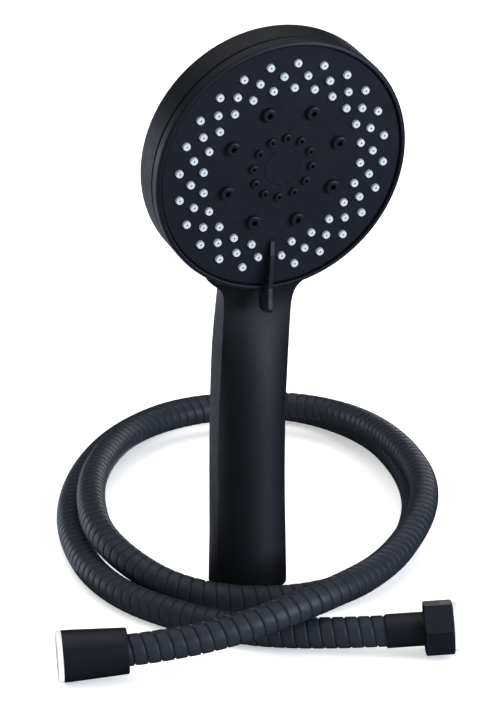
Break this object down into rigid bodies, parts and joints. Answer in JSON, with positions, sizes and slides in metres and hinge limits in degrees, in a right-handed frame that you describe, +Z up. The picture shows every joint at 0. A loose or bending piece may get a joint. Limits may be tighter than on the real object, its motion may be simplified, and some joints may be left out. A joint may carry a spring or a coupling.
{
  "type": "handheld shower head",
  "caption": "Round handheld shower head on a straight handle, with a turning selector face, soft spray tips and a loose strip-wound hose lying around its foot.",
  "frame": {"origin": "centre of the inlet thread's open end, on the surface the part stands on", "axes": "+Z up along the handle's axis, -Y the way the spray face looks, +X to the right of someone facing the spray face"},
  "size_m": [0.2772, 0.365, 0.273],
  "materials": {
    "handle_black": "fine satin moulded black",
    "ring_black": "satin moulded black",
    "face_black": "matte moulded black",
    "lever_black": "satin moulded black",
    "silicone_white": "soft matte white silicone",
    "inner_grey": "plain moulded grey",
    "brass": "machined",
    "steel": "zinc plated",
    "seal_rubber": "soft matte black",
    "white_plastic": "plain white",
    "hose_black": "satin black strip winding",
    "nut_black": "satin black coat",
    "liner": "pale soft tube"
  },
  "bodies": {
    "shower_body": {"handle_shell": "handle_black", "inlet_nipple": "brass", "filter_gasket": "seal_rubber", "filter_screen": "steel", "flow_restrictor": "white_plastic", "water_tube": "inner_grey", "tube_o_ring_lower": "seal_rubber", "tube_o_ring_upper": "seal_rubber", "diverter_body": "inner_grey", "body_screws": "steel", "port_seal": "seal_rubber", "face_screw": "steel", "retaining_washer": "steel", "hose_sheath": "hose_black", "hose_liner": "liner", "cone_washer": "seal_rubber", "cone_ferrule": "nut_black", "cone_insert": "brass", "hex_washer": "seal_rubber", "hex_ferrule": "nut_black", "hex_insert": "brass", "detent_spring": "steel"},
    "spray_head": {"channel_plate": "inner_grey", "front_ring": "ring_black", "spray_face": "face_black", "nozzle_mat": "silicone_white", "center_cap": "face_black", "selector_lever": "lever_black"},
    "turbine": {"massage_turbine": "white_plastic"},
    "detent": {"detent_pin": "steel"},
    "cone_swivel": {"cone_nut": "nut_black", "cone_guard": "white_plastic"},
    "hex_swivel": {"hex_nut": "nut_black", "hex_guard": "white_plastic"}
  },
  "joints": [
    {"name": "selector_turn", "type": "hinge", "parent": "shower_body", "child": "spray_head", "pos_m": [0, -0.03185, 0.2106], "axis": [0, -0.9772, -0.2125], "range_deg": [-30, 30]},
    {"name": "turbine_spin", "type": "hinge", "parent": "spray_head", "child": "turbine", "pos_m": [0, -0.03185, 0.2106], "axis": [0, -0.9772, -0.2125], "continuous": true},
    {"name": "detent_press", "type": "slide", "parent": "shower_body", "child": "detent", "axis": [0, 0.9772, 0.2125], "range_m": [0, 0.001], "stiffness_N_per_m": 600, "springref_m": -0.002, "deforming": ["detent_spring"]},
    {"name": "cone_nut_turn", "type": "hinge", "parent": "shower_body", "child": "cone_swivel", "pos_m": [-0.1026, -0.071, 0.0125], "axis": [-0.9517, 0.3022, -0.0547], "continuous": true},
    {"name": "hex_nut_turn", "type": "hinge", "parent": "shower_body", "child": "hex_swivel", "pos_m": [0.0408, -0.1018, 0.0125], "axis": [0.9135, -0.3993, 0.0772], "continuous": true}
  ]
}
